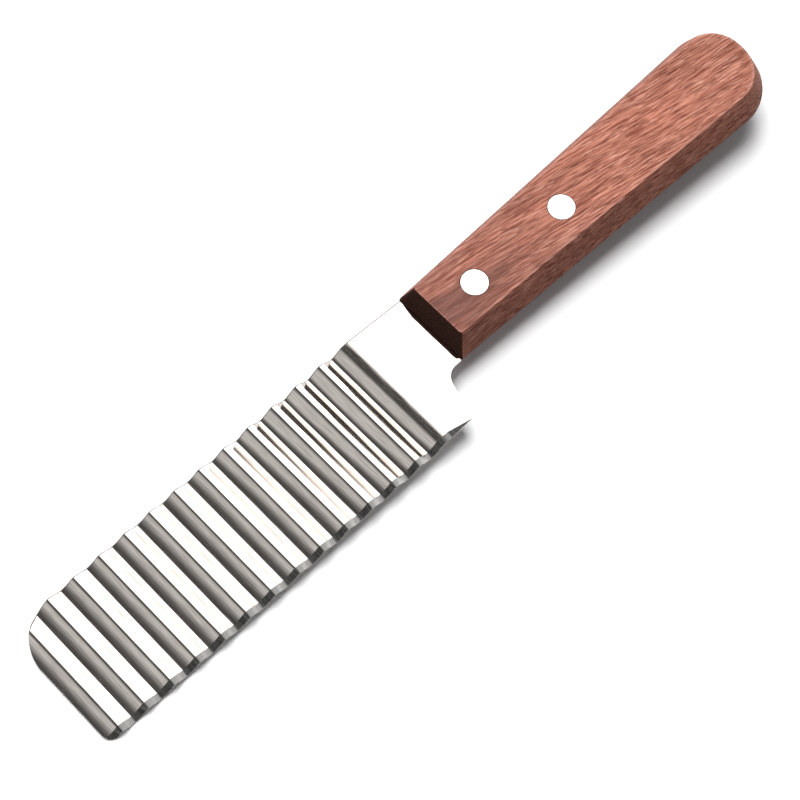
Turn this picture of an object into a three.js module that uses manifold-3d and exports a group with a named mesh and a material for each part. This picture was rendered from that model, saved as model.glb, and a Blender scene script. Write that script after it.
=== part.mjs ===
// Crinkle cutter: a corrugated steel blade riveted into a slotted hardwood handle.
// Millimetres, +Z up. The knife lies along X, tip towards -X and butt towards +X. The spine faces +Y,
// the cutting edge faces -Y, and Z is square to the flat of the blade.
// While it is modelled, X = 0 is the handle's front end, Y = 0 the handle's centre line and Z = 0 the
// middle of the flat sheet. The finished knife is then moved, so that its origin is the middle of its base.

import * as THREE from 'three';
import { mergeVertices, toCreasedNormals } from 'three/addons/utils/BufferGeometryUtils.js';
import Module from 'manifold-3d';

// Sheet and corrugation. Bend radii are those of the middle of the sheet. Valleys are counted from the
// tip. Those near the handle are deeper and tighter, and each heel size is that of the last one.
const SHEET = 1.0;
const PITCH = 8.0;
const CREST_COUNT = 13;
const WAVE_DEPTH = 1.6;
const HEEL_DEPTH = 2.3;
const VALLEY_RADIUS = 4.1;
const HEEL_VALLEY_RADIUS = 2.2;
const DEEPER_FROM = 8.5; // valley number where the waves start to get deeper
const DEEPEST_FROM = 12.0; // valley number from where they have the heel's sizes
const CREST_RADIUS = 1.2;
const RUNOUT_RADIUS = 5.5; // where the last flank rises into the flat

// Blade outline
const BLADE_WIDTH = 36.0;
const SPINE_HEIGHT = 11.6; // spine above the handle's centre line
const SPINE_DROP = 0.8; // what the spine loses along the flat, down to the handle
const FLAT_LENGTH = 17.44; // from the corrugation to the handle
const NECK_WIDTH = 22.2; // where the blade meets the handle
const NECK_RADIUS = 4.5;
const HEEL_SETBACK = 9.0; // from the handle's front end to the heel's corner
const HEEL_LEAN = 16.6; // degrees that the heel's back edge leans from square
const TIP_SPINE_RADIUS = 12.0;
const TIP_EDGE_RADIUS = 3.0;

// Ground edge, on the upper face only
const BEVEL_WIDTH = 1.6;
const BEVEL_RUNOUT = 7.0; // length in which the bevel narrows to nothing at the heel
const EDGE_THICKNESS = 0.2;

// Tang, hidden in the handle
const TANG_WIDTH = 15.0;
const TANG_END_RADIUS = 3.0;
const TANG_PAST_RIVET = 9.0;

// Handle. A ridge runs round its middle, and its walls lean in from there to the two flat faces.
const HANDLE_LENGTH = 118.3;
const HANDLE_THICKNESS = 17.0;
const FRONT_WIDTH = 22.8; // across the ridge at the front end
const BUTT_WIDTH = 28.8; // across the ridge at the butt, before its corners are rounded
const BUTT_SPINE_RADIUS = 12.0;
const BUTT_EDGE_RADIUS = 14.5;
const FRONT_CORNER_RADIUS = 0.8;
const FRONT_STANDOUT = 2.0; // how far the ridge stands out past the faces at the front end
const FRONT_SIDE_STANDOUT = 3.0; // the same at the sides, where they start
const BUTT_SIDE_STANDOUT = 3.6; // the same at the sides, where they end
const BUTT_STANDOUT = 4.2; // the same at the butt
const RIDGE_RADIUS = 2.0;
const FACE_EDGE_RADIUS = 0.5;

// Cutler's rivets: a headed post pressed into a headed tube, with both heads flush
const RIVET_FROM_FRONT = 14.4;
const RIVET_SPACING = 31.0;
const RIVET_DROP = 0.8; // from the handle's centre line towards the edge
const HEAD_DIAMETER = 7.3;
const HEAD_THICKNESS = 1.8;
const TUBE_DIAMETER = 4.8;
const POST_DIAMETER = 3.0;
const POST_CHAMFER = 0.4;

// Fits
const SEAT_GAP = 0.3; // end to end, and under the rivet heads
const SLOT_CLEARANCE = 0.3; // tang in its slot, each side
const RIVET_CLEARANCE = 0.2; // rivet in its hole, each side
const PRESS_CLEARANCE = 0.15; // post in its tube, each side

// Facets
const BEND_STEP = 8.0; // degrees
const OUTLINE_STEPS = 6;
const WALL_STEPS = 2;
const TURNED_STEPS = 32;
const CREASE_ANGLE = 20.0; // degrees
const CUT_MARGIN = 1.0; // how far a cutting shape runs past what it cuts
const ARC_SHARE = 0.98; // the most of a side that the arcs at its two ends may take

const degrees = THREE.MathUtils.degToRad;
const wasm = await Module();
wasm.setup();

// A closed geometry as a solid that can be cut
function solidOf(geometry) {
  const bare = geometry.clone();
  bare.deleteAttribute('normal');
  bare.deleteAttribute('uv');
  const merged = mergeVertices(bare);
  const vertProperties = new Float32Array(merged.attributes.position.array);
  const triVerts = new Uint32Array(merged.index.array);
  return new wasm.Manifold(new wasm.Mesh({ numProp: 3, vertProperties, triVerts }));
}

// A cut solid as a geometry
function geometryOf(solid) {
  const mesh = solid.getMesh();
  const geometry = new THREE.BufferGeometry();
  geometry.setAttribute('position', new THREE.BufferAttribute(mesh.vertProperties, 3));
  geometry.setIndex(new THREE.BufferAttribute(mesh.triVerts, 1));
  return geometry;
}

// Adds to a path the corners [x, y, radius], each rounded by an arc that meets both its sides.
// Arcs that are too large for the side between them share it, and leave a short straight.
function addRoundedCorners(path, corners, closed) {
  const after = (i) => (i + 1) % corners.length;
  const points = corners.map(([x, y]) => new THREE.Vector2(x, y));
  const sides = points.map((point, i) => points[after(i)].clone().sub(point));
  const turns = sides.map((side, i) => Math.atan2(sides.at(i - 1).cross(side), sides.at(i - 1).dot(side)));
  const reaches = corners.map(([, , radius = 0], i) => radius * Math.tan(Math.abs(turns[i]) / 2));
  const shares = sides.map((side, i) => {
    const room = ARC_SHARE * side.length();
    return Math.min(1, room / (reaches[i] + reaches[after(i)]));
  });
  corners.forEach(([x, y, fullRadius = 0], i) => {
    const goTo = (px, py) => (i === 0 ? path.moveTo(px, py) : path.lineTo(px, py));
    if (fullRadius === 0) {
      goTo(x, y);
      return;
    }
    const share = Math.min(shares.at(i - 1), shares[i]);
    const radius = share * fullRadius;
    const arriving = sides.at(i - 1).clone().normalize();
    const inward = new THREE.Vector2(-arriving.y, arriving.x).multiplyScalar(Math.sign(turns[i]));
    const start = points[i].clone().addScaledVector(arriving, -share * reaches[i]);
    const centre = start.addScaledVector(inward, radius);
    const from = Math.atan2(-inward.y, -inward.x);
    goTo(centre.x + radius * Math.cos(from), centre.y + radius * Math.sin(from));
    path.absarc(centre.x, centre.y, radius, from, from + turns[i], turns[i] < 0);
  });
  if (closed) path.closePath();
  return path;
}

// A prism of a closed outline between two heights
function prism(shape, low, high) {
  const settings = { depth: high - low, bevelEnabled: false, curveSegments: OUTLINE_STEPS };
  return new THREE.ExtrudeGeometry(shape, settings).translate(0, 0, low);
}

// A closed solid through rings with the same number of points, turning left about the loft's direction
function loft(rings) {
  const size = rings[0].length;
  const points = rings.flat();
  const faces = [];
  rings.slice(1).forEach((ring, r) => {
    for (let i = 0; i < size; i += 1) {
      const a = r * size + i;
      const b = r * size + ((i + 1) % size);
      faces.push(a, b, b + size, a, b + size, a + size);
    }
  });
  [rings[0], rings.at(-1)].forEach((ring, end) => {
    const middle = ring.reduce((sum, p) => sum.add(p), new THREE.Vector3()).divideScalar(size);
    const first = end * (rings.length - 1) * size;
    points.push(middle);
    for (let i = 0; i < size; i += 1) {
      const pair = [first + i, first + ((i + 1) % size)];
      if (end === 0) pair.reverse();
      faces.push(points.length - 1, ...pair);
    }
  });
  const geometry = new THREE.BufferGeometry().setFromPoints(points);
  geometry.setIndex(faces);
  return geometry;
}

// A turned piece on the Z axis, from a profile of [radius, height] that starts and ends on the axis
function turned(profile) {
  const points = profile.map(([radius, height]) => new THREE.Vector2(radius, height));
  return new THREE.LatheGeometry(points, TURNED_STEPS).rotateX(Math.PI / 2);
}

// Slope and straight length of a flank that joins two bends across a given run and rise
function flankBetween(bendRadii, run, rise) {
  const straight = Math.sqrt(run ** 2 + (bendRadii - rise) ** 2 - bendRadii ** 2);
  const slope = Math.atan2(rise - bendRadii, run) + Math.atan2(bendRadii, straight);
  return { slope, straight };
}

// Bends and flanks of a valley, by its number from the tip. Bends too large for their pitch are drawn in
// until the flanks have no straight left.
function valleyShape(number) {
  const share = THREE.MathUtils.clamp((number - DEEPER_FROM) / (DEEPEST_FROM - DEEPER_FROM), 0, 1);
  const depth = THREE.MathUtils.lerp(WAVE_DEPTH, HEEL_DEPTH, share);
  const radius = THREE.MathUtils.lerp(VALLEY_RADIUS, HEEL_VALLEY_RADIUS, share);
  const halfPitch = PITCH / 2;
  const roomForBends = (halfPitch ** 2 + depth ** 2) / (2 * depth);
  const draw = Math.min(1, roomForBends / (CREST_RADIUS + radius));
  const crest = CREST_RADIUS * draw;
  const valley = radius * draw;
  return { depth, crest, valley, ...flankBetween(crest + valley, halfPitch, depth) };
}

// The middle line of the sheet as stations {x, z, heading}, from the tip's valley to the flat
function corrugation() {
  const valleys = Array.from({ length: CREST_COUNT + 1 }, (_, number) => valleyShape(number));
  const last = valleys.at(-1);
  const lastBends = last.valley + RUNOUT_RADIUS;
  const lastSlope = Math.min(last.slope, Math.acos(1 - last.depth / lastBends));
  const lastStraight = (last.depth - lastBends * (1 - Math.cos(lastSlope))) / Math.sin(lastSlope);

  const stations = [{ x: 0, z: -valleys[0].depth, heading: 0 }];
  const forward = (length) => {
    const { x, z, heading } = stations.at(-1);
    stations.push({ x: x + length * Math.cos(heading), z: z + length * Math.sin(heading), heading });
  };
  const bend = (radius, angle) => {
    const steps = Math.ceil(Math.abs(angle) / degrees(BEND_STEP));
    const side = Math.sign(angle);
    const { x, z, heading } = stations.at(-1);
    const centreX = x - side * radius * Math.sin(heading);
    const centreZ = z + side * radius * Math.cos(heading);
    for (let i = 1; i <= steps; i += 1) {
      const turnedTo = heading + (angle * i) / steps;
      const atX = centreX + side * radius * Math.sin(turnedTo);
      const atZ = centreZ - side * radius * Math.cos(turnedTo);
      stations.push({ x: atX, z: atZ, heading: turnedTo });
    }
  };
  for (let i = 0; i < CREST_COUNT; i += 1) {
    const up = valleys[i];
    const down = valleys[i + 1];
    bend(up.valley, up.slope);
    forward(up.straight);
    bend(up.crest, -up.slope);
    bend(down.crest, -down.slope);
    forward(down.straight);
    bend(down.valley, down.slope);
  }
  bend(last.valley, lastSlope);
  forward(lastStraight);
  bend(RUNOUT_RADIUS, -lastSlope);
  return stations;
}

const wave = corrugation();
const flatStart = -FLAT_LENGTH;
const tipX = flatStart - wave.at(-1).x;
const edgeY = SPINE_HEIGHT - BLADE_WIDTH;
const heelX = -HEEL_SETBACK;
const rivetXs = [RIVET_FROM_FRONT, RIVET_FROM_FRONT + RIVET_SPACING];
const rivetY = -RIVET_DROP;
const tangEnd = rivetXs.at(-1) + TANG_PAST_RIVET;
const holeRadius = TUBE_DIAMETER / 2 + RIVET_CLEARANCE;
const faceZ = HANDLE_THICKNESS / 2;

// The whole corrugated sheet with its ground edge, still wider and longer than the blade.
// Each ring is the sheet's section across the blade at one station, so the bevel follows the wave.
function bladeSheet() {
  const bevelSlope = (SHEET - EDGE_THICKNESS) / BEVEL_WIDTH;
  const pastEdge = EDGE_THICKNESS / 2 / bevelSlope; // the outline cuts this off
  const placed = wave.map(({ x, z, heading }) => ({ x: x + tipX, z, heading }));
  placed.unshift({ ...placed[0], x: tipX - CUT_MARGIN });
  const runoutStart = heelX - BEVEL_RUNOUT;
  [runoutStart, heelX, tangEnd + CUT_MARGIN].forEach((x) => {
    if (x > placed.at(-1).x) placed.push({ x, z: 0, heading: 0 });
  });
  const rings = placed.map(({ x, z, heading }) => {
    const toHeel = THREE.MathUtils.clamp((heelX - x) / BEVEL_RUNOUT, 0, 1);
    const bevel = BEVEL_WIDTH * toHeel;
    const thicknessPastEdge = SHEET - bevelSlope * (bevel + pastEdge);
    const at = (y, height) => {
      const acrossX = x - height * Math.sin(heading);
      return new THREE.Vector3(acrossX, y, z + height * Math.cos(heading));
    };
    const spine = SPINE_HEIGHT + CUT_MARGIN;
    return [
      at(edgeY - pastEdge, -SHEET / 2),
      at(spine, -SHEET / 2),
      at(spine, SHEET / 2),
      at(edgeY + bevel, SHEET / 2),
      at(edgeY - pastEdge, thicknessPastEdge - SHEET / 2),
    ];
  });
  return loft(rings);
}

// Plan of the blade and its tang, with the rivet holes
function bladeOutline() {
  const neckTop = SPINE_HEIGHT - SPINE_DROP;
  const neckBottom = neckTop - NECK_WIDTH;
  const tangTop = rivetY + TANG_WIDTH / 2;
  const tangBottom = rivetY - TANG_WIDTH / 2;
  const notchX = heelX + (neckBottom - edgeY) * Math.tan(degrees(HEEL_LEAN));
  const corners = [
    [tipX, edgeY, TIP_EDGE_RADIUS],
    [heelX, edgeY],
    [notchX, neckBottom, NECK_RADIUS],
    [-SEAT_GAP, neckBottom],
    [-SEAT_GAP, tangBottom],
    [tangEnd, tangBottom, TANG_END_RADIUS],
    [tangEnd, tangTop, TANG_END_RADIUS],
    [-SEAT_GAP, tangTop],
    [-SEAT_GAP, neckTop],
    [flatStart, SPINE_HEIGHT],
    [tipX, SPINE_HEIGHT, TIP_SPINE_RADIUS],
  ];
  const outline = addRoundedCorners(new THREE.Shape(), corners, true);
  rivetXs.forEach((x) => {
    outline.holes.push(new THREE.Path().absarc(x, rivetY, holeRadius, 0, 2 * Math.PI, true));
  });
  return outline;
}

function bladeGeometry() {
  const height = Math.max(WAVE_DEPTH, HEEL_DEPTH) + SHEET + CUT_MARGIN;
  const blank = solidOf(prism(bladeOutline(), -height, height));
  return geometryOf(solidOf(bladeSheet()).intersect(blank));
}

// Plan of the handle as a ring at one height, from its ridge (lean 0) to its faces (lean 1)
function handleRing(lean, z) {
  const frontX = lean * FRONT_STANDOUT;
  const buttX = HANDLE_LENGTH - lean * BUTT_STANDOUT;
  const frontY = FRONT_WIDTH / 2 - lean * FRONT_SIDE_STANDOUT;
  const buttY = BUTT_WIDTH / 2 - lean * BUTT_SIDE_STANDOUT;
  const draw = (2 * buttY) / BUTT_WIDTH;
  const corners = [
    [frontX, -frontY, FRONT_CORNER_RADIUS],
    [buttX, -buttY, draw * BUTT_EDGE_RADIUS],
    [buttX, buttY, draw * BUTT_SPINE_RADIUS],
    [frontX, frontY, FRONT_CORNER_RADIUS],
  ];
  const plan = addRoundedCorners(new THREE.Shape(), corners, true).getPoints(OUTLINE_STEPS);
  return plan.slice(0, -1).map(({ x, y }) => new THREE.Vector3(x, y, z));
}

// The handle's wall from its lower to its upper face, as [lean, height] corners with their radii
function handleBlank() {
  const onFace = BUTT_SIDE_STANDOUT + CUT_MARGIN;
  const corners = [
    [onFace, -faceZ],
    [BUTT_SIDE_STANDOUT, -faceZ, FACE_EDGE_RADIUS],
    [0, 0, RIDGE_RADIUS],
    [BUTT_SIDE_STANDOUT, faceZ, FACE_EDGE_RADIUS],
    [onFace, faceZ],
  ];
  const wall = addRoundedCorners(new THREE.Path(), corners, false).getPoints(WALL_STEPS);
  return loft(wall.slice(1, -1).map(({ x, y }) => handleRing(x / BUTT_SIDE_STANDOUT, y)));
}

// The slot that takes the tang, open at the handle's front end
function tangSlot() {
  const half = TANG_WIDTH / 2 + SLOT_CLEARANCE;
  const end = tangEnd + SEAT_GAP;
  const radius = TANG_END_RADIUS + SLOT_CLEARANCE;
  const corners = [
    [-CUT_MARGIN, rivetY - half],
    [end, rivetY - half, radius],
    [end, rivetY + half, radius],
    [-CUT_MARGIN, rivetY + half],
  ];
  const height = SHEET / 2 + SLOT_CLEARANCE;
  return prism(addRoundedCorners(new THREE.Shape(), corners, true), -height, height);
}

// The stepped hole that takes one rivet
function rivetHole() {
  const bore = HEAD_DIAMETER / 2 + RIVET_CLEARANCE;
  const seat = faceZ - HEAD_THICKNESS - SEAT_GAP;
  const past = faceZ + CUT_MARGIN;
  return turned([
    [0, -past],
    [bore, -past],
    [bore, -seat],
    [holeRadius, -seat],
    [holeRadius, seat],
    [bore, seat],
    [bore, past],
    [0, past],
  ]);
}

function handleGeometry() {
  const cutters = rivetXs.map((x) => solidOf(rivetHole().translate(x, rivetY, 0)));
  const slotted = solidOf(handleBlank()).subtract(solidOf(tangSlot()));
  return geometryOf(cutters.reduce((solid, cutter) => solid.subtract(cutter), slotted));
}

// Upper half of a rivet: a head with a post that ends just short of the tube's floor
function rivetPostGeometry() {
  const head = HEAD_DIAMETER / 2;
  const post = POST_DIAMETER / 2;
  const underHead = faceZ - HEAD_THICKNESS;
  const end = -underHead + SEAT_GAP;
  return turned([
    [0, end],
    [post - POST_CHAMFER, end],
    [post, end + POST_CHAMFER],
    [post, underHead],
    [head, underHead],
    [head, faceZ],
    [0, faceZ],
  ]);
}

// Lower half of a rivet: a head with a tube that ends just under the upper head
function rivetTubeGeometry() {
  const head = HEAD_DIAMETER / 2;
  const tube = TUBE_DIAMETER / 2;
  const bore = POST_DIAMETER / 2 + PRESS_CLEARANCE;
  const underHead = faceZ - HEAD_THICKNESS;
  const mouth = underHead - SEAT_GAP;
  return turned([
    [0, -faceZ],
    [head, -faceZ],
    [head, -underHead],
    [tube, -underHead],
    [tube, mouth],
    [bore, mouth],
    [bore, -underHead],
    [0, -underHead],
  ]);
}

const stainless = new THREE.MeshStandardMaterial({ color: 0xc9cacb, roughness: 0.12, metalness: 1.0 });
const rosewood = new THREE.MeshStandardMaterial({ color: 0x8a4a3e, roughness: 0.5, metalness: 0.0 });
const aluminium = new THREE.MeshStandardMaterial({ color: 0xe6e6e4, roughness: 0.35, metalness: 1.0 });

function piece(name, geometry, material) {
  const mesh = new THREE.Mesh(toCreasedNormals(geometry, degrees(CREASE_ANGLE)), material);
  mesh.name = name;
  return mesh;
}

const knife = new THREE.Group();
knife.add(piece('blade', bladeGeometry(), stainless));
knife.add(piece('handle', handleGeometry(), rosewood));
['front', 'rear'].forEach((place, i) => {
  const rivet = new THREE.Group();
  rivet.position.set(rivetXs[i], rivetY, 0);
  rivet.add(piece(`${place}_rivet_post`, rivetPostGeometry(), aluminium));
  rivet.add(piece(`${place}_rivet_tube`, rivetTubeGeometry(), aluminium));
  knife.add(rivet);
});

// The origin is the middle of the knife's base, seen from above
const box = new THREE.Box3().setFromObject(knife, true);
const middle = box.getCenter(new THREE.Vector3());
knife.position.set(-middle.x, -middle.y, -box.min.z);

const crinkleCutter = new THREE.Group();
crinkleCutter.add(knife);

export default crinkleCutter;
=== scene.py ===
# %% [markdown]
# A crinkle cutter, dressed around its measured solids.
# The knife has three kinds of piece: a corrugated steel blade, a wooden handle and two flush rivets.
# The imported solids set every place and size. The pieces below keep to them and refine what a solid leaves
# plain: the bends of the blade, its broken edges, and the finishes.

# %% Load the frame
import math
from types import SimpleNamespace

import bmesh
import bpy
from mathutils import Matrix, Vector


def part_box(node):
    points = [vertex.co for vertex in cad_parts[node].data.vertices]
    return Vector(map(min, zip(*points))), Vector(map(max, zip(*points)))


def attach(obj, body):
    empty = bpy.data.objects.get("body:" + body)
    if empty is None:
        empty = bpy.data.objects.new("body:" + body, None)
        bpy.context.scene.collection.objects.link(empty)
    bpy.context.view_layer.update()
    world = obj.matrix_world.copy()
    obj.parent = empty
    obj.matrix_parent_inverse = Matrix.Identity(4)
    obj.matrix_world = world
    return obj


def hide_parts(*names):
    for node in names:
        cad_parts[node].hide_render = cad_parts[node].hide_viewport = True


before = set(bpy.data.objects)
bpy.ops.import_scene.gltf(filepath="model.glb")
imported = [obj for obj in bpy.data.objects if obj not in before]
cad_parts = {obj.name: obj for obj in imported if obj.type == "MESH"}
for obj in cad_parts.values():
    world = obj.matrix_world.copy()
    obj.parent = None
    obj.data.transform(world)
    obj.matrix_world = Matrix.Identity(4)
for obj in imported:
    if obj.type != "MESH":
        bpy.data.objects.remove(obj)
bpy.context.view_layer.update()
MM = 0.001
BODY = "root"
print("solids:", sorted(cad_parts))

# %% [markdown]
# Every material and every Geometry Nodes tree below is wired in code. One small function adds a node, sets
# it up and links its sockets, so that a tree reads from top to bottom like a recipe. Colours are written as
# the sRGB hex values that a screen shows, and a second function turns them to the linear values that a
# shader works with.


# %% Helpers for nodes and colours
def linear(hex_colour):
    """An sRGB hex value as linear red, green, blue and a full alpha."""
    shown = [(hex_colour >> shift & 255) / 255 for shift in (16, 8, 0)]
    return [c / 12.92 if c <= 0.04045 else ((c + 0.055) / 1.055) ** 2.4 for c in shown] + [1.0]


def add_node(tree, kind, sockets=(), **settings):
    """Add a node. Sockets, by place or by name, take a number, a colour, a node or another socket."""
    node = tree.nodes.new(kind)
    for name, value in settings.items():
        setattr(node, name, value)
    pairs = sockets.items() if isinstance(sockets, dict) else enumerate(sockets)
    for key, value in pairs:
        if isinstance(value, bpy.types.Node):
            value = value.outputs[0]
        if isinstance(value, bpy.types.NodeSocket):
            tree.links.new(value, node.inputs[key])
        elif value is not None:
            node.inputs[key].default_value = value
    return node


print("mid grey in linear light:", [round(c, 3) for c in linear(0x808080)])

# %% [markdown]
# The camera looks down on the knife from beyond its tip, on the edge side. A long lens keeps the handle and
# the blade at nearly one scale. Its place, the point it looks at and the direction that is up in the picture
# fix it fully, so the picture can be turned as the knife lies in it, from lower left to upper right.

# %% Camera
LENS = 99.0
CAMERA_AT = Vector((-174.6, -141.0, 508.2)) * MM
LOOK_AT = Vector((-14.2, -3.5, 9.0)) * MM
UP_IN_PICTURE = Vector((0.630, 0.673, 0.388))

camera_data = bpy.data.cameras.new("camera")
camera_data.lens = LENS
camera = bpy.data.objects.new("camera", camera_data)
bpy.context.collection.objects.link(camera)
backward = (CAMERA_AT - LOOK_AT).normalized()
rightward = UP_IN_PICTURE.cross(backward).normalized()
turn = camera.matrix_world.copy()
for row, axes in enumerate(zip(rightward, backward.cross(rightward), backward, CAMERA_AT)):
    turn[row] = axes
camera.matrix_world = turn
bpy.context.scene.camera = camera
print("camera distance in mm:", round((CAMERA_AT - LOOK_AT).length / MM, 1))

# %% [markdown]
# Polished stainless steel shows little of itself and much of the room. On a corrugated blade each flank acts
# as a tilted mirror, so the stripes that the eye sees are the room, folded up. The grooves were buffed along
# their length, which leaves faint lines. They are far finer than a pixel, so they are drawn coarser here, and
# the buffing wheel leaves a slow waviness that bends reflections a little. The press doesn't touch the flat
# by the handle, which stays the clearest mirror. The nickel in the steel makes it warm.

# %% Polished stainless sheet
STEEL_DULL, STEEL_BRIGHT = 0xC2BBB5, 0xDCD5CF
BUFF_LINE = (0.3, 5.0, 0.3)  # mm along X, Y and Z, coarser than the real lines so that they show
BUFF_ROUGHNESS = (0.06, 0.14)
BUFF_DEPTH = 0.0008  # mm
SWELL = 9.0  # mm from one swell of the sheet to the next
SWELL_DEPTH = 0.005  # mm
FLAT_FROM, FLAT_FULL = -8.0, -4.0  # mm along the knife, where the flat by the handle gets smoother
FLAT_SHARE = 0.3  # of the roughness that is left there
MOST_NOISE, MID_NOISE = (0.3, 0.7), (0.35, 0.65)  # the part of a noise's range that a pattern spreads out


def new_material(name):
    """A material with a bare Principled shader: the material, its tree and the shader."""
    material = bpy.data.materials.new(name)
    material.use_nodes = True
    return material, material.node_tree, material.node_tree.nodes["Principled BSDF"]


def streaks(tree, place, sizes, detail):
    """Noise with streaks of the given sizes, in mm along X, Y and Z."""
    stretch = [1 / (size * MM) for size in sizes]
    fitted = add_node(tree, "ShaderNodeVectorMath", [place, stretch], operation="MULTIPLY")
    return add_node(tree, "ShaderNodeTexNoise", {"Vector": fitted, "Scale": 1.0, "Detail": detail})


def polished_steel():
    material, tree, shader = new_material("stainless_steel_buffed")
    shader.inputs["Metallic"].default_value = 1.0
    place = add_node(tree, "ShaderNodeTexCoord").outputs["Object"]
    lines = streaks(tree, place, BUFF_LINE, detail=2.0)
    swell = streaks(tree, place, (SWELL, SWELL, SWELL), detail=0.0)
    rough = add_node(tree, "ShaderNodeMapRange", [lines, *MOST_NOISE, *BUFF_ROUGHNESS])
    along = add_node(tree, "ShaderNodeSeparateXYZ", [place]).outputs["X"]
    calm = add_node(tree, "ShaderNodeMapRange", [along, FLAT_FROM * MM, FLAT_FULL * MM, 1.0, FLAT_SHARE])
    rough = add_node(tree, "ShaderNodeMath", [rough, calm], operation="MULTIPLY")
    streak = add_node(tree, "ShaderNodeMapRange", [lines, *MID_NOISE, 0.0, 1.0])
    colour = add_node(tree, "ShaderNodeMix", {0: streak, 6: linear(STEEL_DULL), 7: linear(STEEL_BRIGHT)},
                      data_type="RGBA")
    wavy = add_node(tree, "ShaderNodeBump", {"Height": swell, "Distance": SWELL_DEPTH * MM})
    scored = add_node(tree, "ShaderNodeBump",
                      {"Height": lines, "Distance": BUFF_DEPTH * MM, "Normal": wavy})
    tree.links.new(colour.outputs[2], shader.inputs["Base Color"])
    tree.links.new(rough.outputs[0], shader.inputs["Roughness"])
    tree.links.new(scored.outputs[0], shader.inputs["Normal"])
    return material


BLADE_POLISH = polished_steel()
print("material:", BLADE_POLISH.name)

# %% [markdown]
# The cutting edge was ground on a wheel after the sheet was pressed. The wheel runs square to the edge and
# leaves short scratches up the bevel, so the bevel is rougher than the buffed sheet and scatters light
# mostly along the blade.

# %% Ground bevel
GROUND_STEEL = 0xB9B7B4
GRIND_LINE = (0.18, 4.0, 4.0)  # mm along X, Y and Z, coarser than the real scratches so that they show
GRIND_ROUGHNESS = (0.16, 0.3)
GRIND_DEPTH = 0.001  # mm


def ground_steel():
    material, tree, shader = new_material("stainless_steel_ground")
    shader.inputs["Base Color"].default_value = linear(GROUND_STEEL)
    shader.inputs["Metallic"].default_value = 1.0
    place = add_node(tree, "ShaderNodeTexCoord").outputs["Object"]
    lines = streaks(tree, place, GRIND_LINE, detail=3.0)
    rough = add_node(tree, "ShaderNodeMapRange", [lines, *MOST_NOISE, *GRIND_ROUGHNESS])
    scored = add_node(tree, "ShaderNodeBump", {"Height": lines, "Distance": GRIND_DEPTH * MM})
    tree.links.new(rough.outputs[0], shader.inputs["Roughness"])
    tree.links.new(scored.outputs[0], shader.inputs["Normal"])
    return material


BLADE_GROUND = ground_steel()
print("material:", BLADE_GROUND.name)

# %% [markdown]
# Along the spine the sheet was sheared from its strip, and nobody polishes that edge. It is dull, with short
# marks through the thickness of the sheet. Its colour is darker still, as painted shade, so that from above
# it draws a dark hair line between the bright flat and the white table.

# %% Sheared edge
# The dark colour is painted shade as well as the dullness of a sheared edge
SHEARED_SHADE_DARK, SHEARED_SHADE_LIGHT = 0x403E3B, 0x625F5C
SHEAR_MARK = (0.25, 2.0, 2.0)  # mm along X, Y and Z
SHEAR_ROUGHNESS = (0.4, 0.6)


def sheared_shaded_steel():
    material, tree, shader = new_material("stainless_steel_sheared_shaded")
    shader.inputs["Metallic"].default_value = 1.0
    place = add_node(tree, "ShaderNodeTexCoord").outputs["Object"]
    marks = streaks(tree, place, SHEAR_MARK, detail=2.0)
    colour = add_node(tree, "ShaderNodeMix", {0: marks, 6: linear(SHEARED_SHADE_DARK), 7: linear(SHEARED_SHADE_LIGHT)},
                      data_type="RGBA")
    rough = add_node(tree, "ShaderNodeMapRange", [marks, 0.0, 1.0, *SHEAR_ROUGHNESS])
    tree.links.new(colour.outputs[2], shader.inputs["Base Color"])
    tree.links.new(rough.outputs[0], shader.inputs["Roughness"])
    return material


BLADE_SHEARED_SHADED = sheared_shaded_steel()
print("material:", BLADE_SHEARED_SHADED.name)

# %% [markdown]
# The blade starts as a flat blank, as it does at the maker: one plate with its outline cut and its edge
# ground, which a press then folds. It could be drawn with its waves at once, but then the corners, the bevel
# and the tang would all have to follow the wave, and on a flat plate they are simple curves. The solids give
# its ends, its sides and the places of its rivets, and the sizes below give the rest.

# %% Sizes of the blade, in mm
SHEET = 1.0
PITCH = 8.0
WAVES = 13
DEEPER_FROM, DEEPEST_FROM = 8.3, 12.3  # waves from the tip
EDGE_LAG = 3.9  # waves by which the edge side is behind the spine side in this
WAVE_DEPTH, HEEL_DEPTH = 1.6, 2.3
WAVE_SLOPE, HEEL_SLOPE = math.radians(37.2), math.radians(40.0)
CREST_RADIUS, HEEL_CREST_RADIUS = 0.6, 1.1
BACK_RADIUS, HEEL_BACK_RADIUS = 3.0, 1.8  # a crest's side towards the handle
LAST_LENGTH, LAST_SLOPE = 4.12, math.radians(39.2)  # the flank that rises to the flat
RUNOUT_RADIUS, RUNOUT_SLOPE = 16.0, math.radians(9.5)
BEVEL_WIDTH = 1.6
BEVEL_RUNOUT = 7.0
EDGE_THICKNESS = 0.2
SPINE_CHAMFER = 0.3  # the spine's sharp edges are broken
TIP_SPINE_RADIUS = 12.0
TIP_EDGE_RADIUS = 3.0
FLAT_LENGTH = 17.44
SPINE_DROP = 0.8
NECK_WIDTH = 22.2
NECK_RADIUS = 4.5
HEEL_SETBACK = 9.0
HEEL_LEAN = math.radians(16.6)
SEAT_GAP = 0.3
SHOULDER_GAP = 0.05  # the neck is pushed home against the handle
TANG_WIDTH = 15.0
TANG_END_RADIUS = 3.0
RIVET_FROM_FRONT = 14.4
RIVET_DROP = 0.8

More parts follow.
